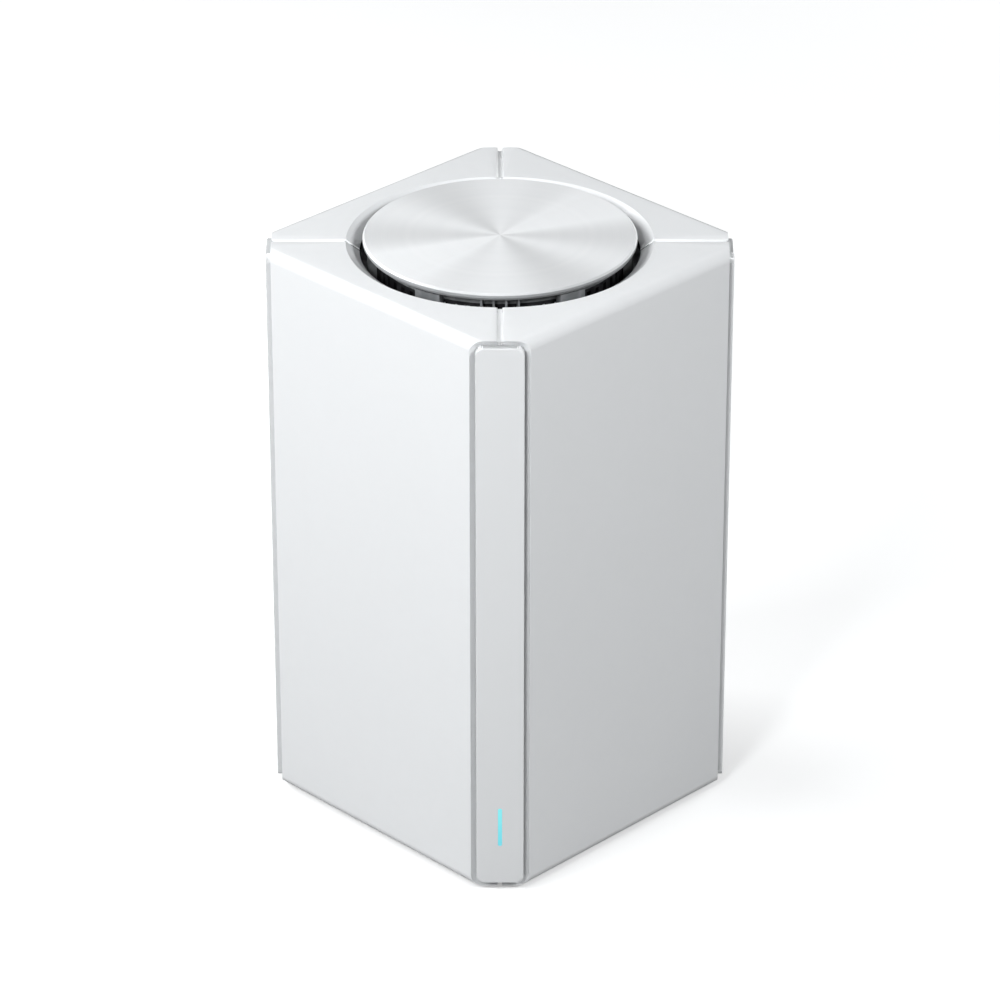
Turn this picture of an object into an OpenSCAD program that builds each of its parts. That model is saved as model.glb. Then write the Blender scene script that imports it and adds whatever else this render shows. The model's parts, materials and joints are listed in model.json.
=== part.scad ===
// Tower-shaped mesh wireless router, millimetres, +Z up.
// The tower is a square prism that stands with one vertical edge towards -Y (the front, with
// the status light) and the opposite edge towards +Y (the rear, with the sockets). All four
// edges are cut off and covered by narrow strips. The origin is on the surface that the feet
// rest on, on the tower's own axis.

/* [Body] */
// Width of the tower across its flat faces
body_w = 95; // [79:1:114]
// Height of the tower from its bottom edge to its flat top
body_h = 160; // [133:1:192]
// Wall thickness of the side panels
wall = 2.2; // [1.8:0.1:2.7]
// Radius of the rounded edges round the top and the bottom
edge_r = 2.8; // [2:0.1:4]
// Depth that is cut off each vertical edge, measured on the diagonal
corner_cut = 7.8; // [6.5:0.1:9.3]
// Gap between neighbouring side panels
panel_gap = 1.2; // [0.8:0.1:1.5]

/* [Corner strips] */
// Width of the sloping border between a panel's edge and its strip
border_w = 1.25; // [1:0.05:1.5]
// Depth of that border
border_d = 1.2; // [1:0.1:1.5]
// Thickness of a strip
strip_t = 2.5; // [2:0.1:3]
// Corner radius of a strip
strip_r = 2; // [1.5:0.1:2.4]
// Length of the status light's slit
light_l = 11.5; // [8:0.5:14]
// Width of the status light's slit
light_w = 1.1; // [0.8:0.1:1.6]

/* [Top] */
// Radius of the top disc
disc_r = 35.7; // [30:0.1:37]
// Thickness of the top disc
disc_t = 2; // [1.6:0.1:2.4]
// Height that the disc stands above the flat top
disc_proud = 1.56; // [1.2:0.02:1.9]
// Width of the recess's sloping side, seen from above
ring_w = 3.6; // [3:0.1:4.4]
// Depth of the recess's sloping side
ring_d = 2.65; // [2.2:0.05:3]

/* [Sockets] */
// Thickness of a network jack, across the board it stands on
jack_t = 13.5; // [12:0.1:14]
// Width of a network jack along the board
jack_w = 16; // [15:0.1:17]
// Depth of a network jack
jack_l = 18; // [15:0.5:20]
// Gap between neighbouring network jacks
jack_gap = 2.5; // [2:0.1:4]
// Radius of the power socket's bore
dc_bore_r = 2.85; // [2.5:0.05:3.2]
// Depth of the power socket's bore
dc_bore_l = 9.5; // [8:0.5:11]
// Radius of the pairing button
mesh_r = 3.3; // [2.8:0.1:4]
// Travel of the pairing button
mesh_travel = 0.5; // [0.2:0.1:0.6]
// Travel of the reset button
reset_travel = 0.3; // [0.2:0.1:0.4]

/* [Inside] */
// Thickness of the circuit board
board_t = 1.6; // [1.2:0.1:2]
// Thickness of the chassis decks
deck_t = 2.5; // [2:0.1:3]
// Number of fins on the heat sink
fin_count = 11; // [7:1:13]
// Thickness of a heat sink fin
fin_t = 1.2; // [1:0.1:1.6]
// Radius of an antenna lead
lead_r = 0.6; // [0.5:0.05:0.7]

/* [Base] */
// Height of the feet below the body
foot_h = 1.2; // [1:0.1:2]
// Radius of a foot
foot_r = 5; // [4:0.5:6]

/* [Hidden] */

$fn = 96;
hull_fn = 32;              // circles inside a hull
lead_sides = 10;           // sides of an antenna lead
eps = 0.01;                // overshoot of a cutting shape
fit_gap = 0.15;            // clearance round a piece that is fitted by hand
screw_gap = 0.02;          // clearance round a screw's thread
clear_gap = 0.3;           // clearance round a piece that moves or a screw that passes

// Heights of the tower
bottom = foot_h;
top = bottom + body_h;
disc_top = top + disc_proud;
disc_bottom = disc_top - disc_t;

// Distances from the axis, along a diagonal
half_diag = body_w / sqrt(2);
corner_y = half_diag - corner_cut;             // the cut that takes off a vertical edge
border_y = corner_y - border_d;                // the floor that a strip lies on
corner_wall = 2.4;                             // the wall behind a strip
inner_corner_y = border_y - corner_wall;
inner_w = body_w - 2 * wall;

// Outline of a corner's border and of its strip
border_land = 0.2;
border_half = corner_cut - border_land;
border_r = strip_r + 1.2;
floor_half = border_half - border_w;
strip_half = floor_half - fit_gap;
strip_y = border_y + strip_t;
strip_edge = 0.22;
strip_z0 = bottom + border_land + border_w + fit_gap;
strip_z1 = top - border_land - border_w - fit_gap;
peg_r = 1.4;
peg_l = border_y - inner_corner_y + 1.8;

// Bottom lip of the panels and the base plate inside it
lip_in = 5;
lip_w = body_w - 2 * lip_in;
lip_corner_y = corner_y - lip_in;
flange_t = 1.6;
base_top = bottom + wall + flange_t;

// Chassis: a tray below, a deck above and four posts between them
tray_z = base_top + 4;
tray_top = tray_z + deck_t;
deck_top = top - 10.7;
deck_z = deck_top - deck_t;
deck_edge_gap = 3.3;
deck_w = inner_w - 2 * deck_edge_gap;
deck_corner_y = inner_corner_y - 3.8;
post_w = 5;
post_in = 4.5;
post_xy = (deck_w / 2 - post_in) / sqrt(2);
tray_hole_r = 26;

// Recess and throat under the disc
throat_r = disc_r + 0.8;
ring_r = throat_r + ring_w;
throat_ring_t = 2;
throat_ring_l = 2.3;
carrier_r = disc_r - 3.1;
carrier_pad = 0.24;
carrier_top = disc_bottom - carrier_pad;
carrier_t = 1.96;
grille_r = carrier_r - 0.5;
grille_t = 2;
deck_hole_r = grille_r - grille_t - 0.6;
carrier_screw_y = carrier_r + 4.2;
post_angles = [-32, 32, 148, 212];
post_half_angle = 6;
post_foot_h = 4;
tick_angles = [-8, -2.7, 2.7, 8];
groove_d = 0.4;
groove_bevel = 0.35;
groove_r = 0.8;                                // radius of the hollow in a groove's floor
groove_hollow = 0.24;                          // depth of that hollow

// Rear bay, its plate and what looks out of it
bay_y = corner_y - 5.7;
plate_t = 2.2;
plate_y = bay_y + plate_t;
jack_y = plate_y - 0.5;

// Main board, in the plane of the front and rear corners
board_x1 = -jack_t / 2;
board_x0 = board_x1 - board_t;
board_y0 = -(inner_corner_y - 3.8);
board_y1 = bay_y - 1.7;
board_z0 = tray_top + 0.5;
board_z1 = deck_z - 2;
board_hole_ys = [board_y0 + 12, board_y1 - 15];
lug_w = 7;
lug_t = 6;
lug_h = 8.5;
low_screw_z = board_z0 + 5;
high_screw_z = board_z1 - 5;

// Heights of the sockets and buttons, counted up from the board's lower end
dc_z = board_z0 + 10;
wan_z = dc_z + 10 + jack_w / 2;
jack_pitch = jack_w + jack_gap;
lan_1_z = wan_z + jack_pitch;
lan_2_z = lan_1_z + jack_pitch;
mesh_z = lan_2_z + jack_w / 2 + 8;
reset_z = mesh_z + 10;
bay_z0 = dc_z - 9;
bay_z1 = reset_z + 8;
jack_heights = [wan_z, lan_1_z, lan_2_z];

// Status light, near the bottom of the front strip
light_z = strip_z0 + 11.4 + light_l / 2;
guide_back_y = board_y0 + 1;
led_h = 1.7;

// Network jack: sheet shield round a moulded insert with the plug's cavity
shield_t = 0.3;
cavity_half_x = 4.2;
cavity_half_z = 5.95;
cavity_l = 13;
latch_half_z = 3;
latch_x = 5.8;
insert_y = jack_y - 0.2;
contact_t = 0.35;
contact_pitch = 1.02;

// Buttons
button_hole_r = mesh_r + clear_gap;
button_proud = mesh_travel + clear_gap;
flange_r = mesh_r + 1.1;
button_flange_t = 1.2;
flange_y = bay_y - clear_gap;
plunger_r = 1.4;
plunger_l = 3;
plunger_tip_y = flange_y - button_flange_t - plunger_l;
switch_y = bay_y - 3.2;
switch_l = 5.5;
reset_hole_r = 0.9;
reset_pin_r = 0.8;
reset_pin_in = 2;
reset_head_r = 1.5;

// Power socket
dc_half_z = 4.5;
dc_x1 = 4.75;
dc_nose_r = 4.4;
dc_nose_l = 2.4;
dc_l = 14.4;
dc_pin_r = 1;

// Heat sink and the plate on the board's other side
chip_t = 1.5;
pad_t = 1;
sink_x0 = board_x1 + chip_t + pad_t;
sink_base_t = 3;
sink_x1 = sink_x0 + sink_base_t;
fin_x1 = sink_x1 + 19;
sink_y0 = board_y0 + 10;
sink_y1 = jack_y - jack_l - 5.4;
sink_z0 = board_z0 + 14;
sink_z1 = board_z1 - 14;
spreader_gap = 2;
spreader_t = 2;
spreader_x1 = board_x0 - spreader_gap;
spreader_x0 = spreader_x1 - spreader_t;
clamp_in = 4;
clamp_ys = [sink_y0 + clamp_in, sink_y1 - clamp_in];
clamp_zs = [sink_z0 + clamp_in, sink_z1 - clamp_in];
mid_y = (sink_y0 + sink_y1) / 2;
mid_z = (sink_z0 + sink_z1) / 2;

// Antennas on brackets in the left and right corners
bracket_x1 = deck_corner_y - 1.5;
bracket_t = 2;
bracket_x0 = bracket_x1 - bracket_t;
bracket_half = 8.5;
antenna_t = 0.8;
antenna_half = 7;
antenna_end = 4;
antenna_mid_gap = 6;
antenna_mid_z = (tray_top + deck_z) / 2;
low_antenna_z0 = tray_top + antenna_end;
low_antenna_z1 = antenna_mid_z - antenna_mid_gap / 2;
high_antenna_z0 = antenna_mid_z + antenna_mid_gap / 2;
high_antenna_z1 = deck_z - antenna_end;
feeds = [[4, low_antenna_z1 - 8], [-4, high_antenna_z0 + 12]];
lead_x = bracket_x0 - 2;
lead_bend = 3;
bend_steps = 4;
plug_h = 1.8;
plug_z = board_z1 - 8;
left_plug_ys = [-20, -10];
right_plug_ys = [20, 8];

// Feet, screws and label
foot_at = lip_corner_y - 14;
foot_sink = 0.5;
head_r = 3;
head_h = 1.6;
thread_r = 1.5;
small_head_r = 2.1;
small_head_h = 1.3;
small_thread_r = 1.1;
label_w = 34;
label_l = 20;
label_t = 0.15;

// Colours
shell_colour = "whitesmoke";
black_colour = "#1a1a1b";
steel_colour = "silver";

// A square with its corners on the X and Y axes, cut off at a distance from the centre
module cut_square(w, cut_y) {
    intersection() {
        rotate(45) square(w, center = true);
        square(2 * cut_y, center = true);
    }
}

module cut_prism(w, cut_y, h) {
    linear_extrude(h) cut_square(w, cut_y);
}

// A rectangle with round corners, from its left edge, right edge, bottom and top
module round_rect(x0, x1, y0, y1, r) {
    translate([x0 + r, y0]) square([x1 - x0 - 2 * r, y1 - y0]);
    translate([x0, y0 + r]) square([x1 - x0, y1 - y0 - 2 * r]);
    for (x = [x0 + r, x1 - r], y = [y0 + r, y1 - r]) translate([x, y]) circle(r);
}

// A ring sector about the Z axis, centred on the -Y direction
module sector(r0, r1, half_angle, h) {
    rotate(-90 - half_angle) rotate_extrude(angle = 2 * half_angle)
        translate([r0, 0]) square([r1 - r0, h]);
}

// Turns what is drawn at the front corner (towards -Y) to another corner:
// 0 front, 1 right, 2 rear, 3 left
module at_corner(k) {
    rotate(90 * k) children();
}

// Cylinder along the Y axis
module rod_y(r, y0, y1) {
    translate([0, y0, 0]) rotate([-90, 0, 0]) cylinder(h = y1 - y0, r = r);
}

// Cylinder along the X axis
module rod_x(r, x0, x1) {
    translate([x0, 0, 0]) rotate([0, 90, 0]) cylinder(h = x1 - x0, r = r);
}

// Box from its lowest corner to its highest corner
module box(low, high) {
    translate(low) cube(high - low);
}

// Screw whose head stands on z = 0 and whose thread points up, with a cross recess
module screw(hr, hh, tr, length) {
    difference() {
        union() {
            translate([0, 0, -hh]) cylinder(h = hh, r = hr);
            cylinder(h = length, r = tr);
        }
        for (turn = [0, 90]) rotate(turn)
            translate([-hr * 0.6, -hr * 0.11, -hh - eps]) cube([hr * 1.2, hr * 0.22, hh * 0.6]);
    }
}

// ---- Outer shell ----

// The whole outside with its rounded top and bottom edges and its cut corners
module outer_body() {
    intersection() {
        for_face(45);
        for_face(-45);
        translate([0, 0, bottom]) linear_extrude(body_h) square(2 * corner_y, center = true);
    }
}

module for_face(turn) {
    rotate(turn) rotate([90, 0, 0]) linear_extrude(body_w, center = true)
        round_rect(-body_w / 2, body_w / 2, bottom, top, edge_r);
}

// The cone-sided recess round the disc, and the throat below it, lowered by drop
module top_recess(drop) {
    translate([0, 0, top - ring_d - drop]) cylinder(h = ring_d, r1 = throat_r, r2 = ring_r);
    translate([0, 0, top - drop - eps]) cylinder(h = drop + 2 * eps, r = ring_r);
    translate([0, 0, top - 10]) cylinder(h = 10, r = throat_r);
}

// Sloping border of one corner, as the shape that is cut away between two heights
module border_cut(z0, z1) {
    hull() {
        border_slab(corner_y, border_half, z0, z1, border_r);
        border_slab(border_y, floor_half, z0 + border_w, z1 - border_w, strip_r + fit_gap);
    }
}

module border_slab(y, half, z0, z1, r) {
    translate([0, -y, 0]) rotate([90, 0, 0]) linear_extrude(eps)
        round_rect(-half, half, z0, z1, r, $fn = hull_fn);
}

// Half-width bevel along a panel's edge next to the gap, on the flat top and down the cone
module gap_bevels() {
    reach = panel_gap / 2 + groove_bevel;
    slope = atan2(ring_d, ring_r - throat_r);
    for (k = [0:3]) at_corner(k) {
        translate([0, 0, top]) bevel_bar(reach, corner_y + 1, 0);
        translate([0, -ring_r, top]) rotate([slope, 0, 0]) bevel_bar(reach, 0, 8);
    }
}

// Round hollows along the floors of the gaps on the flat top
module groove_hollows() {
    lift = groove_r - groove_hollow - groove_d;
    for (k = [0:3]) at_corner(k)
        translate([0, 0, top + lift]) rod_y(groove_r, -border_y - 1, -ring_r - 0.3);
}

// Bar of triangular section that leaves the surface at the given half-width
module bevel_bar(reach, out, back) {
    translate([0, back, 0]) rotate([90, 0, 0]) linear_extrude(out + back)
        polygon([[-reach - groove_d, groove_d], [reach + groove_d, groove_d], [0, -reach]]);
}

module shell() {
    difference() {
        union() {
            difference() {
                outer_body();
                translate([0, 0, bottom + wall])
                    cut_prism(inner_w, inner_corner_y, body_h - 2 * wall);
                translate([0, 0, bottom - eps]) cut_prism(lip_w, lip_corner_y, wall + 2 * eps);
            }
            translate([0, 0, top - wall - throat_ring_l]) difference() {
                cylinder(h = throat_ring_l + eps, r = throat_r + throat_ring_t);
                translate([0, 0, -eps]) cylinder(h = throat_ring_l + 1, r = throat_r);
            }
        }
        top_recess(0);
        gap_bevels();
        for (k = [0, 1, 3]) at_corner(k) border_cut(bottom + border_land, top - border_land);
        at_corner(2) border_cut(bay_z1 + border_w, top - border_land);
        for (k = [0:3], z = strip_peg_heights(k)) at_corner(k) translate([0, 0, z])
            rod_y(peg_r + fit_gap, -corner_y, 0);
        at_corner(0) light_slot(clear_gap, -corner_y, 0);
        box([-half_diag, bay_y, bay_z0], [half_diag, half_diag, bay_z1]);
    }
}

// Tabs inside a panel that bear on the edges of the chassis decks
module panel_tabs() {
    for (z = [tray_z, deck_z]) rotate(45) translate([deck_w / 2, -6, z])
        cube([deck_edge_gap + eps, 12, deck_t]);
}

module panel(k) {
    color(shell_colour) rotate(90 * k) {
        intersection() {
            rotate(-90 * k) shell();
            box([panel_gap / 2, panel_gap / 2, 0], [half_diag, half_diag, top + 1]);
        }
        panel_tabs();
    }
}

module panel_rear_right() { panel(0); }
module panel_rear_left() { panel(1); }
module panel_front_left() { panel(2); }
module panel_front_right() { panel(3); }

// Frame under the gaps between the panels: a ring round the throat, four arms to the corners
// and four uprights that the strips clip into
module corner_frame() {
    upright_t = 2.3;
    upright_half = inner_w / sqrt(2) - inner_corner_y - 1.2;
    arm_half = 3;
    arm_z0 = top - wall - 1.6;
    tongue_half = panel_gap / 2 - 0.05;
    ring_r0 = throat_r + throat_ring_t + 0.05;
    color(shell_colour) difference() {
        union() {
            for (k = [0:3]) at_corner(k) {
                box([-arm_half, -inner_corner_y, arm_z0], [arm_half, -ring_r0, top - wall]);
                box([-tongue_half, -border_y, arm_z0], [tongue_half, -throat_r, top - groove_d]);
                box([-upright_half, -inner_corner_y, k == 2 ? bay_z1 + 2 : base_top],
                    [upright_half, upright_t - inner_corner_y, top - wall]);
            }
            translate([0, 0, arm_z0]) difference() {
                cylinder(h = 1.6, r = ring_r0 + 1.5);
                translate([0, 0, -eps]) cylinder(h = 2, r = ring_r0);
            }
        }
        top_recess(groove_d);
        groove_hollows();
        for (k = [0:3], z = strip_peg_heights(k)) at_corner(k) translate([0, 0, z])
            rod_y(peg_r + fit_gap, -corner_y, -inner_corner_y + 10);
        light_slot(clear_gap, -corner_y, 0);
        for (k = [0:3]) at_corner(k)
            box([-border_half, -corner_y, top - border_land - 14],
                [border_half, -border_y, top - border_land - border_w]);
    }
}

// ---- Corner strips ----

function strip_low(k) = k == 2 ? bay_z1 + 2 * border_w + fit_gap : strip_z0;

// A strip has a peg near each end and one between them; the front one keeps clear of the light
function strip_peg_heights(k) =
    [strip_low(k) + (k == 0 ? 32 : 6), (strip_low(k) + strip_z1) / 2, strip_z1 - 8];

// Slot for the light guide, grown by a clearance
module light_slot(grow, y0, y1) {
    half_w = light_w / 2 + grow;
    half_l = light_l / 2 + grow;
    translate([0, y1, light_z]) rotate([90, 0, 0]) linear_extrude(y1 - y0)
        round_rect(-half_w, half_w, -half_l, half_l, half_w - 0.02);
}

module strip(k) {
    z0 = strip_low(k);
    color("gainsboro") at_corner(k) difference() {
        union() {
            translate([0, -border_y, 0]) rotate([90, 0, 0]) linear_extrude(strip_t - strip_edge)
                round_rect(-strip_half, strip_half, z0, strip_z1, strip_r);
            hull() {
                strip_slab(strip_y - strip_edge - eps, 0, z0);
                strip_slab(strip_y - strip_edge * 0.4, strip_edge * 0.2, z0);
                strip_slab(strip_y - eps, strip_edge * 0.7, z0);
            }
            for (z = strip_peg_heights(k)) translate([0, 0, z])
                rod_y(peg_r, -border_y - eps, -border_y + peg_l);
        }
        if (k == 0) light_slot(0, -strip_y - 1, -border_y + 1);
    }
}

module strip_slab(y, inset, z0) {
    translate([0, -y, 0]) rotate([90, 0, 0]) linear_extrude(eps)
        round_rect(inset - strip_half, strip_half - inset, z0 + inset, strip_z1 - inset,
                   strip_r - inset, $fn = hull_fn);
}

module front_strip() { strip(0); }
module right_strip() { strip(1); }
module rear_strip() { strip(2); }
module left_strip() { strip(3); }

// Clear bar that carries the status light from the board's edge to the front strip
module light_guide() {
    color("paleturquoise") {
        light_slot(-0.02, -strip_y + 0.05, guide_back_y - 2);
        box([board_x1 + led_h, guide_back_y - 2, light_z - 2], [0, guide_back_y, light_z + 2]);
    }
}

module status_led() {
    color("ivory") box([board_x1, guide_back_y - 1.8, light_z - 1.5],
                       [board_x1 + led_h, guide_back_y - 0.2, light_z + 1.5]);
}

// ---- Top ----

module top_disc() {
    bevel = 0.35;
    color("#e4e5e7") translate([0, 0, disc_bottom]) rotate_extrude()
        polygon([[0, 0], [disc_r - bevel, 0], [disc_r, bevel], [disc_r, disc_t - bevel],
                 [disc_r - bevel, disc_t], [0, disc_t]]);
}

module disc_pad() {
    color(black_colour) translate([0, 0, carrier_top]) cylinder(h = carrier_pad, r = carrier_r - 1);
}

// Plate under the disc, with four posts whose feet stand on the chassis
module disc_carrier() {
    post_r1 = disc_r - 0.5;
    foot_r1 = carrier_r + 6.6;
    color("#8f9294") difference() {
        union() {
            translate([0, 0, carrier_top - carrier_t]) cylinder(h = carrier_t, r = carrier_r);
            for (a = post_angles) rotate(a) translate([0, 0, deck_top]) {
                sector(carrier_r - eps, post_r1, post_half_angle, carrier_top - deck_top);
                sector(carrier_r, foot_r1, post_half_angle, post_foot_h);
            }
            for (k = [0:3], a = tick_angles) rotate(90 * k + a)
                box([-0.25, -carrier_r - 1.9, deck_top], [0.25, -carrier_r + 0.3, carrier_top]);
        }
        for (a = post_angles) rotate(a) translate([0, -carrier_screw_y, deck_top - eps])
            cylinder(h = post_foot_h - 0.5, r = small_thread_r + screw_gap);
    }
}

module carrier_screws() {
    color(steel_colour) for (a = post_angles) rotate(a) translate([0, -carrier_screw_y, deck_z])
        screw(small_head_r, small_head_h, small_thread_r, deck_t + 3);
}

// Slotted black ring that the warm air leaves through, between the carrier and the chassis
module vent_grille() {
    slots = 60;
    slot_half = 0.7;
    rim = 1.2;
    height = carrier_top - carrier_t - deck_top;
    color(black_colour) translate([0, 0, deck_top]) difference() {
        cylinder(h = height, r = grille_r);
        translate([0, 0, -eps]) cylinder(h = height + 1, r = grille_r - grille_t);
        for (i = [0:slots - 1]) rotate((i + 0.5) * 360 / slots)
            box([-slot_half, -grille_r - 1, rim],
                [slot_half, -grille_r + grille_t + 1, height - rim]);
    }
}

// ---- Base ----

module base_plate() {
    slot_count = 9;
    slot_pitch = 4.6;
    slot_y = 19.5;
    slot_half_l = 6;
    color(shell_colour) difference() {
        union() {
            translate([0, 0, bottom]) cut_prism(lip_w - 2 * fit_gap, lip_corner_y - fit_gap, wall);
            translate([0, 0, bottom + wall])
                cut_prism(inner_w - 2 * fit_gap, inner_corner_y - fit_gap, flange_t);
        }
        for (i = [0:slot_count - 1], side = [-1, 1])
            translate([(i - (slot_count - 1) / 2) * slot_pitch, side * slot_y, bottom - eps])
                linear_extrude(wall + flange_t + 1)
                    round_rect(-1, 1, -slot_half_l, slot_half_l, 0.98);
        for (a = [0:90:270]) rotate(a) {
            translate([post_xy, post_xy, bottom - eps]) {
                cylinder(h = head_h + 0.3, r = head_r + clear_gap);
                cylinder(h = wall + flange_t + 1, r = thread_r + clear_gap);
            }
            translate([foot_at, 0, bottom - eps]) cylinder(h = foot_sink + eps, r = foot_r + fit_gap);
        }
        box([-label_w / 2 - fit_gap, -label_l / 2 - fit_gap, bottom - eps],
            [label_w / 2 + fit_gap, label_l / 2 + fit_gap, bottom + label_t]);
    }
}

module base_screws() {
    color(steel_colour) for (a = [0:90:270]) rotate(a)
        translate([post_xy, post_xy, bottom + head_h + 0.3 - eps])
            screw(head_r, head_h, thread_r, base_top - bottom + 5);
}

module rubber_feet() {
    color("#3a3b3d") for (a = [0:90:270]) rotate(a) translate([foot_at, 0, 0]) rotate_extrude()
        polygon([[0, 0], [foot_r - 0.5, 0], [foot_r, 0.5], [foot_r, foot_h + foot_sink],
                 [0, foot_h + foot_sink]]);
}

module blank_label() {
    color("lightgrey") box([-label_w / 2, -label_l / 2, bottom],
                           [label_w / 2, label_l / 2, bottom + label_t]);
}

// ---- Rear sockets and buttons ----

// Plate that closes the rear bay; its sides follow the panels' faces, and a tongue below it
// fills the gap between the rear panels
module port_plate() {
    tongue_half = panel_gap / 2 - 0.05;
    color(shell_colour) difference() {
        union() {
            intersection() {
                box([-half_diag, bay_y, bay_z0 + fit_gap], [half_diag, plate_y, bay_z1 - fit_gap]);
                cut_prism(body_w - 0.6, corner_y, top);
            }
            box([-tongue_half, bay_y, base_top], [tongue_half, corner_y - groove_d, bay_z0 + 1]);
        }
        for (z = jack_heights) box([-jack_t / 2 - clear_gap, 0, z - jack_w / 2 - clear_gap],
                                   [jack_t / 2 + clear_gap, half_diag, z + jack_w / 2 + clear_gap]);
        translate([0, 0, dc_z]) rod_y(dc_nose_r + clear_gap, 0, half_diag);
        translate([0, 0, mesh_z]) rod_y(button_hole_r, 0, half_diag);
        translate([0, 0, reset_z]) rod_y(reset_hole_r, 0, half_diag);
        translate([0, 0, reset_z]) rod_y(reset_hole_r + 0.6, plate_y - 0.4, half_diag);
    }
}

module mesh_button() {
    color("gainsboro") translate([0, 0, mesh_z]) {
        rod_y(mesh_r, flange_y - 1, plate_y + button_proud - 0.3);
        rod_y(mesh_r - 0.3, plate_y, plate_y + button_proud);
        rod_y(flange_r, flange_y - button_flange_t, flange_y);
    }
}

module mesh_plunger() {
    color(black_colour) translate([0, 0, mesh_z])
        rod_y(plunger_r, plunger_tip_y, plunger_tip_y + plunger_l);
}

// Side-acting switch on the board, with a blind bore that its pin moves in
module side_switch(z, half, pin_r, bore_l) {
    color("dimgray") translate([0, 0, z]) difference() {
        box([board_x1, switch_y - switch_l, -half], [half, switch_y, half]);
        rod_y(pin_r + clear_gap, switch_y - bore_l, switch_y + 1);
    }
}

module mesh_switch() {
    side_switch(mesh_z, 3.2, plunger_r, switch_y - plunger_tip_y + mesh_travel + clear_gap);
}

module reset_switch() {
    side_switch(reset_z, 2.6, reset_pin_r, reset_pin_in + reset_travel + clear_gap);
}

module reset_button() {
    color(black_colour) translate([0, 0, reset_z]) {
        rod_y(reset_pin_r, switch_y - reset_pin_in, bay_y - 1);
        rod_y(reset_head_r, bay_y - 1.4, bay_y - 0.6);
    }
}

module dc_jack() {
    color(black_colour) translate([0, 0, dc_z]) difference() {
        union() {
            box([board_x1, jack_y - dc_l, -dc_half_z], [dc_x1, jack_y - dc_nose_l, dc_half_z]);
            rod_y(dc_nose_r, jack_y - dc_nose_l - eps, jack_y);
        }
        rod_y(dc_bore_r, jack_y - dc_bore_l, jack_y + 1);
    }
}

module dc_jack_pin() {
    color(steel_colour) translate([0, 0, dc_z]) {
        rod_y(dc_pin_r, jack_y - dc_bore_l, jack_y - 1.2);
        translate([0, jack_y - 1.2, 0]) sphere(dc_pin_r);
    }
}

module jack_shields() {
    color(steel_colour) for (z = jack_heights) translate([0, 0, z]) difference() {
        box([-jack_t / 2, jack_y - jack_l, -jack_w / 2], [jack_t / 2, jack_y, jack_w / 2]);
        box([shield_t - jack_t / 2, jack_y - jack_l + shield_t, shield_t - jack_w / 2],
            [jack_t / 2 - shield_t, jack_y + 1, jack_w / 2 - shield_t]);
    }
}

// Moulded body inside a jack's shield, with the plug's cavity and the latch's channel
module jack_insert(z) {
    half_x = jack_t / 2 - shield_t;
    half_z = jack_w / 2 - shield_t;
    color("#26272a") translate([0, 0, z]) difference() {
        box([-half_x, jack_y - jack_l + shield_t, -half_z], [half_x, insert_y, half_z]);
        box([-cavity_half_x, insert_y - cavity_l, -cavity_half_z],
            [cavity_half_x, insert_y + 1, cavity_half_z]);
        box([0, insert_y - cavity_l, -latch_half_z], [latch_x, insert_y + 1, latch_half_z]);
    }
}

module wan_insert() { jack_insert(wan_z); }
module lan_insert_1() { jack_insert(lan_1_z); }
module lan_insert_2() { jack_insert(lan_2_z); }

// Eight spring contacts in each jack, rising from the cavity's floor towards its back
module jack_contacts() {
    color("gold") for (z = jack_heights, i = [0:7])
        translate([-cavity_half_x, insert_y - 2.5, z + (i - 3.5) * contact_pitch])
            linear_extrude(contact_t, center = true)
                polygon([[0, 0], [contact_t, 0], [2.2, 1.5 - cavity_l + 4],
                         [2.2, 1 - cavity_l + 4], [0, -1.2]]);
}

// ---- Chassis and board ----

module deck(z, hole_r) {
    bar_x0 = board_x0 - 4;
    bar_x1 = board_x1 + 4;
    difference() {
        translate([0, 0, z]) cut_prism(deck_w, deck_corner_y, deck_t);
        difference() {
            translate([0, 0, z - eps]) cylinder(h = deck_t + 2 * eps, r = hole_r);
            box([bar_x0, -hole_r, z - 1], [bar_x1, hole_r, z + deck_t + 1]);
        }
    }
}

module chassis() {
    guide_t = 1.5;
    guide_h = 4;
    color("#c9cbcd") difference() {
        union() {
            deck(tray_z, tray_hole_r);
            deck(deck_z, deck_hole_r);
            for (a = [0:90:270]) rotate(a) {
                translate([post_xy, post_xy, base_top]) rotate(45)
                    translate([-post_w / 2, -post_w / 2, 0]) cube([post_w, post_w, deck_z - base_top]);
            }
            for (y = board_hole_ys, z = [tray_top, deck_z - lug_h])
                box([board_x0 - lug_t, y - lug_w / 2, z], [board_x0, y + lug_w / 2, z + lug_h]);
            for (x = [board_x0 - fit_gap - guide_t, board_x1 + fit_gap], z = [tray_top, deck_z - guide_h])
                box([x, -6, z], [x + guide_t, 6, z + guide_h]);
        }
        for (a = [0:90:270]) rotate(a) translate([post_xy, post_xy, base_top - eps])
            cylinder(h = 8, r = thread_r + screw_gap);
        for (a = post_angles) rotate(a) translate([0, -carrier_screw_y, deck_z - eps])
            cylinder(h = deck_t + 1, r = small_thread_r + clear_gap);
        for (y = board_hole_ys, z = [low_screw_z, high_screw_z])
            translate([0, y, z]) rod_x(small_thread_r + screw_gap, board_x0 - lug_t + 1, board_x0 + 1);
    }
}

module main_board() {
    color("darkgreen") difference() {
        box([board_x0, board_y0, board_z0], [board_x1, board_y1, board_z1]);
        for (y = board_hole_ys, z = [low_screw_z, high_screw_z])
            translate([0, y, z]) rod_x(small_thread_r + clear_gap, board_x0 - 1, board_x1 + 1);
        for (y = clamp_ys, z = clamp_zs)
            translate([0, y, z]) rod_x(small_thread_r + clear_gap, board_x0 - 1, board_x1 + 1);
    }
}

// Screw along -X with its head on the plane x
module screw_x(x, y, z, length) {
    translate([x, y, z]) rotate([0, -90, 0])
        screw(small_head_r, small_head_h, small_thread_r, length);
}

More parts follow.
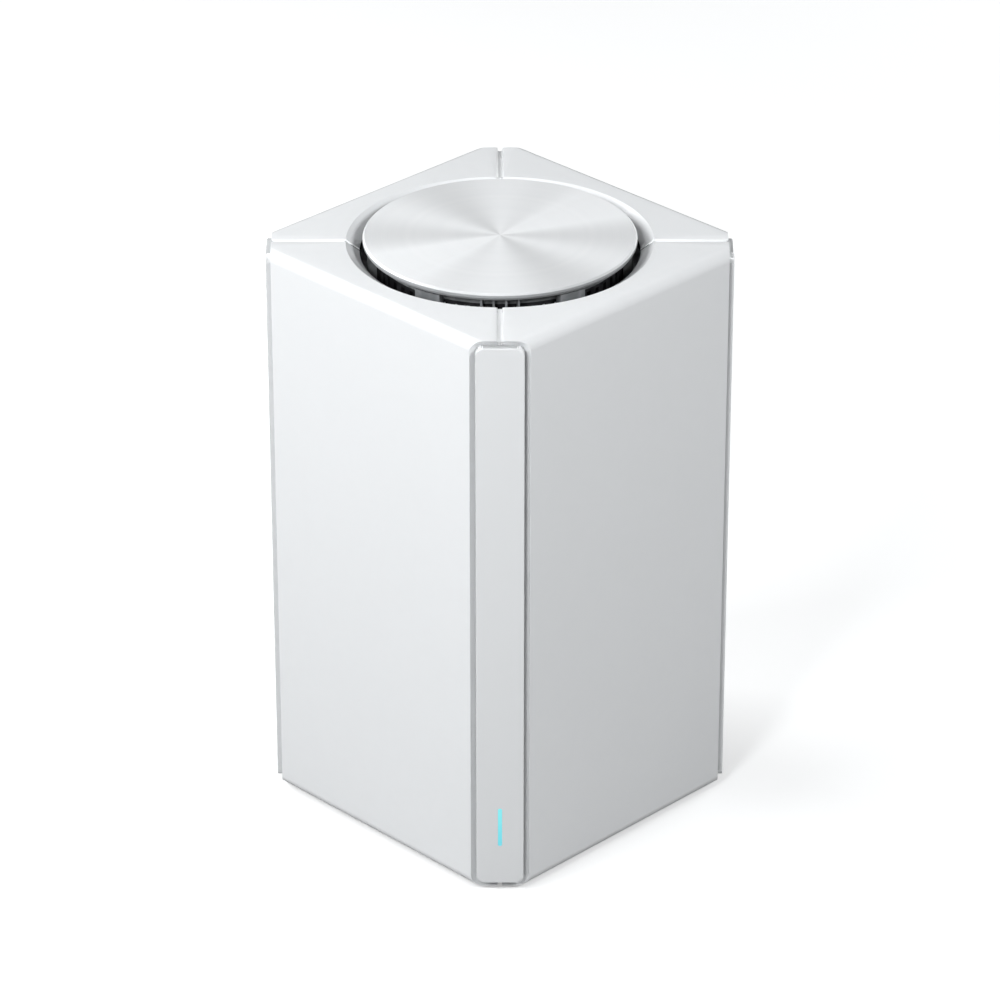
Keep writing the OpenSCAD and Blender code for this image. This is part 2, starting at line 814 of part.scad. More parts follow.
module board_screws() {
    color(steel_colour) for (y = board_hole_ys, z = [low_screw_z, high_screw_z])
        screw_x(board_x1, y, z, board_t + 4.5);
}

// Flat package on the board's front face, from its centre and size
module chip(y, z, w, h, t) {
    box([board_x1, y - w / 2, z - h / 2], [board_x1 + t, y + w / 2, z + h / 2]);
}

memory_y = mid_y - 20;
memory_zs = [mid_z - 12, mid_z + 12];
memory_t = 1.1;

module main_processor() { color("#2b2c2f") chip(mid_y, mid_z, 17, 17, chip_t); }
module memory_chips() { color("#2b2c2f") for (z = memory_zs) chip(memory_y, z, 9, 13, memory_t); }
module flash_chip() { color("#2b2c2f") chip(board_y0 + 5, mid_z - 20, 6, 8, 1); }
module crystal() { color(steel_colour) chip(mid_y + 14, mid_z, 2.5, 3.2, 0.8); }

module capacitors() {
    color("#33363c") for (i = [0:2]) translate([0, i * 10 - 30, board_z0 + 7])
        rod_x(3, board_x1, board_x1 + 8);
}

module inductors() {
    color("#4a4b4e") for (i = [0, 1]) chip(6 + i * 10, board_z0 + 7, 7, 7, 4);
}

module lan_transformers() {
    color("#202124") for (z = jack_heights)
        box([board_x0 - 3.6, board_y1 - 12, z - 6], [board_x0, board_y1 - 4, z + 6]);
}

module thermal_pads() {
    color("lightsteelblue") {
        box([board_x1 + chip_t, mid_y - 8.5, mid_z - 8.5], [sink_x0, mid_y + 8.5, mid_z + 8.5]);
        for (z = memory_zs)
            box([board_x1 + memory_t, memory_y - 4.5, z - 6.5], [sink_x0, memory_y + 4.5, z + 6.5]);
    }
}

// Extruded sink: a base on the hot parts and upright fins for the rising air
module heat_sink() {
    fin_pitch = (sink_y1 - sink_y0 - fin_t) / (fin_count - 1);
    fin_in = 2 * clamp_in + 2;
    color("#a9acb0") difference() {
        union() {
            box([sink_x0, sink_y0, sink_z0], [sink_x1, sink_y1, sink_z1]);
            for (i = [0:fin_count - 1])
                box([sink_x1 - eps, sink_y0 + i * fin_pitch, sink_z0 + fin_in],
                    [fin_x1, sink_y0 + i * fin_pitch + fin_t, sink_z1 - fin_in]);
        }
        for (y = clamp_ys, z = clamp_zs)
            translate([0, y, z]) rod_x(small_thread_r + clear_gap, sink_x0 - 1, sink_x1 + 1);
    }
}

module heat_spreader() {
    color("#b4b7ba") difference() {
        box([spreader_x0, sink_y0, sink_z0], [spreader_x1, sink_y1, sink_z1]);
        for (y = clamp_ys, z = clamp_zs)
            translate([0, y, z]) rod_x(small_thread_r + screw_gap, spreader_x0 - 1, spreader_x1 + 1);
    }
}

// Tubes round the clamp screws, on both sides of the board
module clamp_spacers() {
    color("goldenrod") for (y = clamp_ys, z = clamp_zs) translate([0, y, z]) difference() {
        union() {
            rod_x(2.4, spreader_x1, board_x0);
            rod_x(2.4, board_x1, sink_x0);
        }
        rod_x(small_thread_r + clear_gap, spreader_x1 - 1, sink_x0 + 1);
    }
}

module heat_sink_screws() {
    color(steel_colour) for (y = clamp_ys, z = clamp_zs)
        screw_x(sink_x1, y, z, sink_x1 - spreader_x0 - 0.3);
}

can_zs = [mid_z - 24, mid_z + 24];

module shield_cans() {
    can_t = 0.25;
    color(steel_colour) for (z = can_zs) difference() {
        box([spreader_x1, mid_y - 14, z - 15], [board_x0, mid_y + 14, z + 15]);
        box([spreader_x1 + can_t, mid_y - 14 + can_t, z - 15 + can_t],
            [board_x0 + 1, mid_y + 14 - can_t, z + 15 - can_t]);
    }
}

module radio_chips() {
    color("#2b2c2f") for (z = can_zs)
        box([board_x0 - 1.1, mid_y - 5, z - 5], [board_x0, mid_y + 5, z + 5]);
}

// ---- Antennas ----

// Upright that holds two antennas at a side corner, drawn on the right (+X)
module bracket() {
    color("#c9cbcd") difference() {
        box([bracket_x0, -bracket_half, tray_top], [bracket_x1, bracket_half, deck_z]);
        for (feed = feeds) translate([0, feed[0], feed[1]])
            rod_x(lead_r + fit_gap, bracket_x0 - 1, bracket_x1 + 1);
    }
}

module bracket_right() { bracket(); }
module bracket_left() { rotate(180) bracket(); }

module antenna(z0, z1) {
    color("seagreen") box([bracket_x1, -antenna_half, z0],
                          [bracket_x1 + antenna_t, antenna_half, z1]);
}

module antenna_right_low() { antenna(low_antenna_z0, low_antenna_z1); }
module antenna_right_high() { antenna(high_antenna_z0, high_antenna_z1); }
module antenna_left_low() { rotate(180) antenna(low_antenna_z0, low_antenna_z1); }
module antenna_left_high() { rotate(180) antenna(high_antenna_z0, high_antenna_z1); }

module lead_connectors() {
    color("gold") {
        for (y = left_plug_ys) translate([0, y, plug_z]) rod_x(1.5, board_x0 - plug_h, board_x0);
        for (y = right_plug_ys) translate([0, y, plug_z]) rod_x(1.5, board_x1, board_x1 + plug_h);
    }
}

// Route with each inner corner replaced by a short curve
function corner_curve(before, at, after) =
    let (start = at + lead_bend * (before - at) / norm(before - at),
         end = at + lead_bend * (after - at) / norm(after - at))
    [for (i = [0:bend_steps]) let (t = i / bend_steps)
        (1 - t) * (1 - t) * start + 2 * t * (1 - t) * at + t * t * end];

function smooth_route(points) = [
    points[0],
    for (i = [1:len(points) - 2]) each corner_curve(points[i - 1], points[i], points[i + 1]),
    points[len(points) - 1]];

function unit(v) = v / norm(v);

// Direction of a route at one of its points
function route_direction(route, i) =
    unit(route[min(i + 1, len(route) - 1)] - route[max(i - 1, 0)]);

// Ring of points round a route's point, square to the route
function route_ring(route, i) =
    let (along = route_direction(route, i),
         side = unit(cross(along, [0.1, 1, 0.3])),
         up = cross(side, along))
    [for (j = [0:lead_sides - 1]) let (a = 360 * j / lead_sides)
        route[i] + lead_r * (cos(a) * side + sin(a) * up)];

// Round lead swept along a route
module lead(points) {
    route = smooth_route(points);
    last = len(route) - 1;
    rings = [for (i = [0:last]) each route_ring(route, i)];
    first_cap = [[for (j = [0:lead_sides - 1]) j]];
    last_cap = [[for (j = [lead_sides - 1:-1:0]) last * lead_sides + j]];
    sides = [for (i = [0:last - 1], j = [0:lead_sides - 1])
        let (a = i * lead_sides + j, b = i * lead_sides + (j + 1) % lead_sides)
        each [[a, a + lead_sides, b], [b, a + lead_sides, b + lead_sides]]];
    polyhedron(rings, concat(first_cap, sides, last_cap));
}

// Points of one lead: off its plug, across to the bracket, down along it and out to the feed
function lead_points(side, plug, feed) = [
    plug, [side * (lead_x - 10), plug[1], plug[2]],
    [side * lead_x, side * feed[0], plug[2] - 10], [side * lead_x, side * feed[0], feed[1]],
    [side * bracket_x1, side * feed[0], feed[1]]];

module antenna_leads() {
    color("#3b3c40") for (i = [0, 1]) {
        lead(lead_points(-1, [board_x0 - plug_h, left_plug_ys[i], plug_z], feeds[i]));
        lead(lead_points(1, [board_x1 + plug_h, right_plug_ys[i], plug_z], feeds[i]));
    }
}

panel_front_left();
panel_front_right();
panel_rear_left();
panel_rear_right();
corner_frame();
front_strip();
left_strip();
right_strip();
rear_strip();
light_guide();
status_led();
top_disc();
disc_pad();
disc_carrier();
carrier_screws();
vent_grille();
base_plate();
base_screws();
rubber_feet();
blank_label();
port_plate();
mesh_button();
mesh_plunger();
mesh_switch();
reset_button();
reset_switch();
dc_jack();
dc_jack_pin();
jack_shields();
wan_insert();
lan_insert_1();
lan_insert_2();
jack_contacts();
chassis();
main_board();
board_screws();
main_processor();
memory_chips();
flash_chip();
crystal();
capacitors();
inductors();
lan_transformers();
thermal_pads();
heat_sink();
heat_spreader();
clamp_spacers();
heat_sink_screws();
shield_cans();
radio_chips();
bracket_left();
bracket_right();
antenna_left_low();
antenna_left_high();
antenna_right_low();
antenna_right_high();
lead_connectors();
antenna_leads();
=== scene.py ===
# %% [markdown]
# # A tower router, dressed round its imported frame
# The router is a white square tower that stands with one vertical edge to the front. Its hard
# shapes are already settled in the imported frame, in metres, with the resting surface at z = 0.
# Blender adds what a drawing of sizes does not hold: softened edges, finishes, a studio and a
# camera. Loading the frame first means that nothing has to be fitted by hand.

# %% Load the frame
import json
import math

import bmesh
import bpy
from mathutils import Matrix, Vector


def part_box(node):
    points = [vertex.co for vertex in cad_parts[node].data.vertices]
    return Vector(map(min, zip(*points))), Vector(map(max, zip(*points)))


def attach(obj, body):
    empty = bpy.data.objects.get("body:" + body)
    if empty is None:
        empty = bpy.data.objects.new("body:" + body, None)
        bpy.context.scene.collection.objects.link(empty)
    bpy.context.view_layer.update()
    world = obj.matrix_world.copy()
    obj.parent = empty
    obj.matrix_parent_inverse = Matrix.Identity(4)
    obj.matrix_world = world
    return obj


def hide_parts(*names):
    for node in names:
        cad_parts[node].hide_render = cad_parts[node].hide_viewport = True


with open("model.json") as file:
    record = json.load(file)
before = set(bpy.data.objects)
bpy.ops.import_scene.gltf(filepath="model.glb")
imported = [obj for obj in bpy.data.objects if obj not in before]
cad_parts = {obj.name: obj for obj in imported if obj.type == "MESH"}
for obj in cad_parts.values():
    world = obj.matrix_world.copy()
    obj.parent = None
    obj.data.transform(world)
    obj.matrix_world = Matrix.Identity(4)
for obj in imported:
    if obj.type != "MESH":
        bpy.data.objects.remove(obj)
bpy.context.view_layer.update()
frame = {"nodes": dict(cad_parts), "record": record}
MM = 0.001

# %% [markdown]
# The camera is a long lens about 1.35 m away, looking down at 28 degrees on the vertical edge
# with the status light. A long lens keeps the tower's edges nearly parallel. The direction is
# given as a vector from the aim point, because that is easier to check than three angles.

# %% Camera
camera_distance = 1.3488
camera_elevation = math.radians(27.93)
aim_point = Vector((0, 0, 0.0849))
sensor_width = 36.0
focal_ratio = 5.058

camera_data = bpy.data.cameras.new("camera")
camera_data.sensor_width = sensor_width
camera_data.lens = focal_ratio * sensor_width
camera_data.clip_start = 0.05
camera = bpy.data.objects.new("camera", camera_data)
bpy.context.scene.collection.objects.link(camera)
towards_camera = Vector((0, -math.cos(camera_elevation), math.sin(camera_elevation)))
camera.location = aim_point + towards_camera * camera_distance
camera.rotation_mode = "QUATERNION"
camera.rotation_quaternion = (-towards_camera).to_track_quat("-Z", "Y")
bpy.context.scene.camera = camera
print("lens", round(camera_data.lens, 1), "mm at", [round(c, 3) for c in camera.location])

# %% [markdown]
# Materials are built from small graphs. One helper places a node, sets its options and either
# links an input or gives it a number, so that each finish below reads as a list of steps. A
# second helper makes a shader group with named sockets for an effect that several finishes use.

# %% Graph helpers


def place(tree, kind, inputs=None, **options):
    """Adds a shader node. Inputs are given by name or number, as a value or as a socket."""
    node = tree.nodes.new("ShaderNode" + kind)
    for option, value in options.items():
        setattr(node, option, value)
    for key, value in (inputs or {}).items():
        socket = node.inputs[key]
        if isinstance(value, bpy.types.NodeSocket):
            tree.links.new(value, socket)
        else:
            socket.default_value = value
    return node


def sum_up(tree, operation, *values, clamp=False):
    """A Math node on one to three values or sockets."""
    node = place(tree, "Math", dict(enumerate(values)), operation=operation, use_clamp=clamp)
    return node.outputs[0]


def remap(tree, value, low, high, out_low=0.0, out_high=1.0):
    """Turns the range low to high into out_low to out_high, smoothly and clamped."""
    numbers = {"Value": value, "From Min": low, "From Max": high}
    numbers.update({"To Min": out_low, "To Max": out_high})
    return place(tree, "MapRange", numbers, interpolation_type="SMOOTHSTEP").outputs[0]


def tint(tree, factor, first, second, blend="MIX"):
    """Mixes two colours."""
    node = tree.nodes.new("ShaderNodeMix")
    node.data_type = "RGBA"
    node.blend_type = blend
    for socket, value in ((node.inputs[0], factor), (node.inputs[6], first), (node.inputs[7], second)):
        if isinstance(value, bpy.types.NodeSocket):
            tree.links.new(value, socket)
        else:
            socket.default_value = value
    return node.outputs[2]


def new_group(name, inputs, outputs):
    """A shader group; inputs are {name: start value}, outputs are {name: kind}."""
    group = bpy.data.node_groups.new(name, "ShaderNodeTree")
    for label, start in inputs.items():
        kind = "Float"
        if start == "vector":
            kind = "Vector"
        elif isinstance(start, tuple):
            kind = "Color"
        socket = group.interface.new_socket(label, in_out="INPUT", socket_type="NodeSocket" + kind)
        if kind != "Vector":
            socket.default_value = start
    for label, kind in outputs.items():
        group.interface.new_socket(label, in_out="OUTPUT", socket_type="NodeSocket" + kind)
    start_node = group.nodes.new("NodeGroupInput")
    end_node = group.nodes.new("NodeGroupOutput")
    return group, start_node.outputs, end_node.inputs


def use_group(tree, group, inputs):
    """Places a group in a material with its own values."""
    node = tree.nodes.new("ShaderNodeGroup")
    node.node_tree = group
    for key, value in inputs.items():
        if isinstance(value, bpy.types.NodeSocket):
            tree.links.new(value, node.inputs[key])
        else:
            node.inputs[key].default_value = value
    return node.outputs


# %% [markdown]
# No moulding is one even colour: the plastic's flow and the light in it drift slowly over a few
# centimetres. The first group bends a colour lighter and darker with broad noise. A painted
# image could do the same, but noise has no seams and works at any place on the object.

# %% Group: slow drift of tone
tone_drift, given, result = new_group(
    "tone_drift",
    {"Vector": "vector", "Colour": (0.8, 0.8, 0.8, 1.0), "Amount": 0.02, "Size": 0.03},
    {"Colour": "Color"},
)
tree = tone_drift
per_metre = sum_up(tree, "DIVIDE", 1.0, given["Size"])
drift = place(tree, "TexNoise", {"Vector": given["Vector"], "Scale": per_metre, "Detail": 3.0})
swing = sum_up(tree, "MULTIPLY", sum_up(tree, "SUBTRACT", drift.outputs["Fac"], 0.5), 2.0)
bright = sum_up(tree, "MULTIPLY_ADD", swing, given["Amount"], 1.0)
shade = place(tree, "HueSaturation", {"Value": bright, "Color": given["Colour"]})
tree.links.new(shade.outputs["Color"], result["Colour"])
print("group", tone_drift.name, "ready")

# %% [markdown]
# A moulding takes the texture of its steel mould, a fine grain well below a millimetre, under a
# slight waviness from uneven cooling (on gloss plastic the waviness is what shows). The group
# gives a height for a Bump node. Real displacement would need millions of faces for the same.

# %% Group: moulded grain and waviness
mould_skin, given, result = new_group(
    "mould_skin",
    {"Vector": "vector", "Grain Size": 0.0004, "Grain": 0.5, "Wave Size": 0.01, "Wave": 0.5},
    {"Height": "Float"},
)
tree = mould_skin
grain_scale = sum_up(tree, "DIVIDE", 1.0, given["Grain Size"])
wave_scale = sum_up(tree, "DIVIDE", 1.0, given["Wave Size"])
grain = place(tree, "TexNoise", {"Vector": given["Vector"], "Scale": grain_scale, "Detail": 2.0})
wave = place(tree, "TexNoise", {"Vector": given["Vector"], "Scale": wave_scale, "Detail": 1.0})
both = sum_up(
    tree,
    "ADD",
    sum_up(tree, "MULTIPLY", grain.outputs["Fac"], given["Grain"]),
    sum_up(tree, "MULTIPLY", wave.outputs["Fac"], given["Wave"]),
)
tree.links.new(both, result["Height"])
print("group", mould_skin.name, "ready")

# %% [markdown]
# Handling leaves two kinds of mark: faint smudges, a centimetre or two wide, and hairline
# scratches. Both change how sharp a reflection is and hardly the colour, so this group gives one
# mask that each finish adds to its roughness. Stretched noise makes the hairlines.

# %% Group: handling marks
handling_marks, given, result = new_group(
    "handling_marks",
    {"Vector": "vector", "Smudge Size": 0.02, "Scratches": 0.3},
    {"Mask": "Float"},
)
tree = handling_marks
smudge_scale = sum_up(tree, "DIVIDE", 1.0, given["Smudge Size"])
smudge = place(tree, "TexNoise", {"Vector": given["Vector"], "Scale": smudge_scale, "Detail": 5.0})
smudges = remap(tree, smudge.outputs["Fac"], 0.42, 0.72)
scratch_sets = []
for turn, stretch in ((0.5, (2600.0, 40.0, 60.0)), (1.9, (50.0, 2300.0, 45.0))):
    turned = place(tree, "VectorRotate", {"Vector": given["Vector"], "Angle": turn})
    turned.rotation_type = "EULER_XYZ"
    turned.inputs["Rotation"].default_value = (turn, turn * 0.7, turn * 1.3)
    pulled = place(tree, "Mapping", {"Vector": turned.outputs[0], "Scale": stretch})
    hairs = place(tree, "TexNoise", {"Vector": pulled.outputs[0], "Scale": 1.0, "Detail": 1.0})
    scratch_sets.append(remap(tree, hairs.outputs["Fac"], 0.70, 0.78))
scratches = sum_up(tree, "MAXIMUM", *scratch_sets)
marks = sum_up(tree, "MULTIPLY_ADD", scratches, given["Scratches"], smudges, clamp=True)
tree.links.new(marks, result["Mask"])
print("group", handling_marks.name, "ready")

# %% [markdown]
# Edges rub first. Pointiness tells how sharply the surface bends at a point, so a mask from it,
# broken up with noise, lands on the real softened edges. A painted mask would have to be redone
# whenever a shape changes.

# %% Group: worn edges
worn_edges, given, result = new_group(
    "worn_edges",
    {"Vector": "vector", "Start": 0.52, "Patch Size": 0.003},
    {"Mask": "Float"},
)
tree = worn_edges
bend = place(tree, "NewGeometry").outputs["Pointiness"]
start_high = sum_up(tree, "ADD", given["Start"], 0.06)
on_edge = remap(tree, bend, given["Start"], start_high)
patch_scale = sum_up(tree, "DIVIDE", 1.0, given["Patch Size"])
patch = place(tree, "TexNoise", {"Vector": given["Vector"], "Scale": patch_scale, "Detail": 4.0})
broken = remap(tree, patch.outputs["Fac"], 0.35, 0.6)
tree.links.new(sum_up(tree, "MULTIPLY", on_edge, broken), result["Mask"])
print("group", worn_edges.name, "ready")

# %% [markdown]
# Dust settles only on what faces up. The group compares the surface normal with the vertical
# and speckles the result, and each finish uses it as a small rise in roughness and paleness.

# %% Group: settled dust
settled_dust, given, result = new_group(
    "settled_dust",
    {"Vector": "vector", "Speck Size": 0.0006},
    {"Mask": "Float"},
)
tree = settled_dust
upward = place(tree, "SeparateXYZ", {0: place(tree, "NewGeometry").outputs["Normal"]}).outputs[2]
speck_scale = sum_up(tree, "DIVIDE", 1.0, given["Speck Size"])
speck = place(tree, "TexNoise", {"Vector": given["Vector"], "Scale": speck_scale, "Detail": 3.0})
specks = remap(tree, speck.outputs["Fac"], 0.5, 0.75)
tree.links.new(sum_up(tree, "MULTIPLY", remap(tree, upward, 0.6, 1.0), specks), result["Mask"])
print("group", settled_dust.name, "ready")

# %% [markdown]
# Turned and spun metal carries fine rings round its axis. The group measures the distance from
# the Z axis and turns it into uneven rings: a height for the bump and a tone. It serves the top
# disc, and with a shifted vector any other turned piece.

# %% Group: turned rings
turned_rings, given, result = new_group(
    "turned_rings",
    {"Vector": "vector", "Pitch": 0.0003},
    {"Height": "Float", "Tone": "Float"},
)
tree = turned_rings
axes = place(tree, "SeparateXYZ", {0: given["Vector"]}).outputs
x_squared = sum_up(tree, "MULTIPLY", axes[0], axes[0])
y_squared = sum_up(tree, "MULTIPLY", axes[1], axes[1])
radius = sum_up(tree, "SQRT", sum_up(tree, "ADD", x_squared, y_squared))
ring_count = sum_up(tree, "DIVIDE", radius, given["Pitch"])
fine = place(tree, "TexNoise", {"W": ring_count, "Scale": 1.0, "Detail": 2.0}, noise_dimensions="1D")
broad = place(tree, "TexNoise", {"W": ring_count, "Scale": 0.07, "Detail": 2.0}, noise_dimensions="1D")
tree.links.new(fine.outputs["Fac"], result["Height"])
fine_share = sum_up(tree, "MULTIPLY", fine.outputs["Fac"], 0.6)
broad_share = sum_up(tree, "MULTIPLY", broad.outputs["Fac"], 0.4)
tree.links.new(sum_up(tree, "ADD", fine_share, broad_share), result["Tone"])
print("group", turned_rings.name, "ready")

# %% [markdown]
# Spun metal shows pale and dull sectors, which are reflections of the studio. The group paints them
# as painted reflection: a tone of three cosines of the angle round the axis, with sizes fitted to the
# wanted look and not taken from any real process. It is a stand-in for reflections of a richer
# studio, and Strength 0 takes it away.

# %% Group: painted reflection sectors
# waves round the axis, strength, starting angle in radians
REFLECTION_SECTOR_WAVES = ((2, 0.100, 1.42), (4, 0.035, 3.30), (6, 0.085, 3.37))
middle_tone = 0.9
painted_reflection_sectors, given, result = new_group(
    "painted_reflection_sectors",
    {"Vector": "vector", "Strength": 1.0},
    {"Tone": "Float"},
)
tree = painted_reflection_sectors
axes = place(tree, "SeparateXYZ", {0: given["Vector"]}).outputs
angle = sum_up(tree, "ARCTAN2", axes[1], axes[0])
reflection_sectors = 0.0
for count, share, start in REFLECTION_SECTOR_WAVES:
    turn = sum_up(tree, "SUBTRACT", sum_up(tree, "MULTIPLY", angle, float(count)), start)
    wave = sum_up(tree, "MULTIPLY", sum_up(tree, "COSINE", turn, 0.0), share)
    reflection_sectors = sum_up(tree, "ADD", wave, reflection_sectors)
toned = sum_up(tree, "ADD", sum_up(tree, "MULTIPLY", reflection_sectors, given["Strength"]), middle_tone)
tree.links.new(sum_up(tree, "MINIMUM", toned, 1.0), result["Tone"])
print("group", painted_reflection_sectors.name, "ready")

# %% [markdown]
# Rolled or brushed sheet has straight lines along one direction. Noise that is stretched a
# hundred times along one axis gives them, as a height.

# %% Group: drawn lines
drawn_lines, given, result = new_group(
    "drawn_lines",
    {"Vector": "vector", "Along X": 20.0, "Along Y": 20.0, "Along Z": 3000.0},
    {"Height": "Float"},
)
tree = drawn_lines
axes = place(tree, "SeparateXYZ", {0: given["Vector"]}).outputs
pulled = place(
    tree,
    "CombineXYZ",
    {
        0: sum_up(tree, "MULTIPLY", axes[0], given["Along X"]),
        1: sum_up(tree, "MULTIPLY", axes[1], given["Along Y"]),
        2: sum_up(tree, "MULTIPLY", axes[2], given["Along Z"]),
    },
)
lines = place(tree, "TexNoise", {"Vector": pulled.outputs[0], "Scale": 1.0, "Detail": 3.0})
tree.links.new(lines.outputs["Fac"], result["Height"])
print("group", drawn_lines.name, "ready")

# %% [markdown]
# Most finishes here share one recipe: a colour that drifts, a roughness that handling and dust
# raise, edges that wear paler or brighter, and a mould's or tool's texture as bump. One function
# builds that recipe with each finish's own numbers, and the special finishes add to what it
# returns. Numbers that don't change over the surface go straight on the shader.

# %% The shared recipe


def finish(
    name,
    colour,
    rough,
    metallic=0.0,
    drift=0.02,
    drift_size=0.03,
    marks=0.08,
    wear=0.3,
    wear_colour=(0.95, 0.95, 0.95),
    dust=0.05,
    grain_size=0.0004,
    grain=0.4,
    wave_size=0.012,
    wave=0.3,
    depth=0.00002,
    **shader_values,
):
    """A material from the shared recipe, with its parts for the finishes that add more."""
    material = bpy.data.materials.new(name)
    material.use_nodes = True
    tree = material.node_tree
    shader = tree.nodes["Principled BSDF"]
    vector = place(tree, "TexCoord").outputs["Object"]
    base = use_group(
        tree, tone_drift, {"Vector": vector, "Colour": (*colour, 1.0), "Amount": drift, "Size": drift_size}
    )["Colour"]
    edge = use_group(tree, worn_edges, {"Vector": vector})["Mask"]
    dusty = use_group(tree, settled_dust, {"Vector": vector})["Mask"]
    marked = use_group(tree, handling_marks, {"Vector": vector})["Mask"]
    worn = tint(tree, sum_up(tree, "MULTIPLY", edge, wear), base, (*wear_colour, 1.0))
    pale = tint(tree, sum_up(tree, "MULTIPLY", dusty, dust), worn, (0.75, 0.74, 0.72, 1.0))
    roughened = sum_up(tree, "MULTIPLY_ADD", marked, marks, rough)
    roughened = sum_up(tree, "MULTIPLY_ADD", dusty, dust * 2, roughened, clamp=True)
    skin = use_group(
        tree,
        mould_skin,
        {"Vector": vector, "Grain Size": grain_size, "Grain": grain, "Wave Size": wave_size, "Wave": wave},
    )["Height"]
    bump = place(tree, "Bump", {"Height": skin, "Strength": 1.0, "Distance": depth})
    tree.links.new(pale, shader.inputs["Base Color"])
    tree.links.new(roughened, shader.inputs["Roughness"])
    tree.links.new(bump.outputs[0], shader.inputs["Normal"])
    shader.inputs["Metallic"].default_value = metallic
    for label, value in shader_values.items():
        shader.inputs[label.replace("_", " ")].default_value = value
    made = {"material": material, "tree": tree, "shader": shader, "vector": vector}
    made.update({"colour": pale, "rough": roughened, "height": skin, "bump": bump})
    return made


FINISHES = {}
print("recipe ready")

# %% [markdown]
# The tower's shell is polished white plastic. It is bright and slightly cool, its reflections
# are soft, and a thin clear surface layer gives the sharp part of the gloss. The strips are the
# same plastic in a greyer shade, polished harder, so that they mirror what stands before them.

# %% White shell and grey strips
FINISHES["white_plastic"] = finish(
    "polished_white",
    (0.86, 0.868, 0.876),
    0.3,
    drift=0.006,
    marks=0.05,
    wear=0.12,
    dust=0.015,
    wave_size=0.014,
    wave=0.6,
    grain=0.05,
    depth=0.000012,
    Coat_Weight=0.35,
    Coat_Roughness=0.12,
)
FINISHES["strip_plastic"] = finish(
    "polished_pale_grey",
    (0.80, 0.808, 0.815),
    0.16,
    drift=0.002,
    marks=0.012,
    wear=0.0,
    dust=0.004,
    wave_size=0.04,
    wave=0.2,
    grain=0.01,
    depth=0.000004,
    Coat_Weight=1.0,
    Coat_Roughness=0.02,
)
print("white and grey plastics ready")

# %% [markdown]
# The disc on top is spun aluminium, satin and almost white. Its tool left concentric rings, and
# light that crosses them spreads into bright sectors that seem to turn with the viewer. That is
# anisotropy: a shader value with a tangent that runs round the axis. The rings themselves are
# bump and tone. Anisotropy alone gave too few and too sharp sectors under these lights, so a fixed
# painted reflection helps it: pale and dull sectors painted into the colour, which stay in place
# when the light or the viewer moves. The side and lower bevel are painted darker, as painted shade.

# %% Spun disc
disc = finish(
    "spun_aluminium",
    (0.985, 0.99, 0.995),
    0.38,
    metallic=0.1,
    drift=0.004,
    marks=0.03,
    wear=0.2,
    dust=0.01,
    wave=0.0,
    grain=0.0,
    depth=0.000004,
    Anisotropic=0.8,
)
tree = disc["tree"]
rings = use_group(tree, turned_rings, {"Vector": disc["vector"], "Pitch": 0.00022})
ring_tint = tint(tree, remap(tree, rings["Tone"], 0.3, 0.7), (0.95, 0.955, 0.96, 1.0), (1.0, 1.0, 1.0, 1.0))
ringed = tint(tree, 1.0, disc["colour"], ring_tint, "MULTIPLY")
# Painted reflection: the fixed pale and dull sectors are multiplied into the disc's colour.
reflection_sectors = use_group(tree, painted_reflection_sectors, {"Vector": disc["vector"], "Strength": 1.0})
painted_reflection_tint = tint(tree, reflection_sectors["Tone"], (0.0, 0.0, 0.0, 1.0), (1.0, 1.0, 1.0, 1.0))
with_painted_reflection = tint(tree, 1.0, ringed, painted_reflection_tint, "MULTIPLY")
# Painted shade: faces that turn away from straight up, the disc's side and lower bevel, are painted darker.
facing = place(tree, "SeparateXYZ", {0: place(tree, "NewGeometry").outputs["Normal"]}).outputs[2]
flank_shade_colour = (0.42, 0.425, 0.43, 1.0)
flank_shade_tint = tint(tree, remap(tree, facing, 0.3, 0.95), flank_shade_colour, (1.0, 1.0, 1.0, 1.0))
tree.links.new(tint(tree, 1.0, with_painted_reflection, flank_shade_tint, "MULTIPLY"), disc["shader"].inputs["Base Color"])
tree.links.new(rings["Height"], disc["bump"].inputs["Height"])
round_axis = place(tree, "Tangent", direction_type="RADIAL", axis="Z")
tree.links.new(round_axis.outputs[0], disc["shader"].inputs["Tangent"])
FINISHES["brushed_disc"] = disc
print("spun disc ready")

# %% [markdown]
# The status light shines through a clear guide. The guide glows evenly with a slightly deeper
# shade near its lower end, where the light has the longest way, so the colour follows height.

# %% Light guide
guide = finish("lit_guide", (0.20, 0.62, 0.68), 0.15, drift=0.01, wear=0.0, dust=0.0, depth=0.000004)
tree = guide["tree"]
low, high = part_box("light_guide")
height = place(tree, "SeparateXYZ", {0: guide["vector"]}).outputs[2]
upwards = remap(tree, height, low.z + 0.001, high.z - 0.001)
glow = tint(tree, upwards, (0.10, 0.55, 0.68, 1.0), (0.22, 0.78, 0.80, 1.0))
tree.links.new(glow, guide["shader"].inputs["Emission Color"])
guide["shader"].inputs["Emission Strength"].default_value = 0.47
FINISHES["light_guide"] = guide
print("light guide ready, glowing from", round(low.z / MM, 1), "to", round(high.z / MM, 1), "mm")

# %% [markdown]
# The other mouldings are matt: black for the vent ring, jack bodies and sockets, mid grey for
# the disc's carrier and the switches, pale grey for the chassis. They differ in grain size and
# in how much their edges rub shiny.

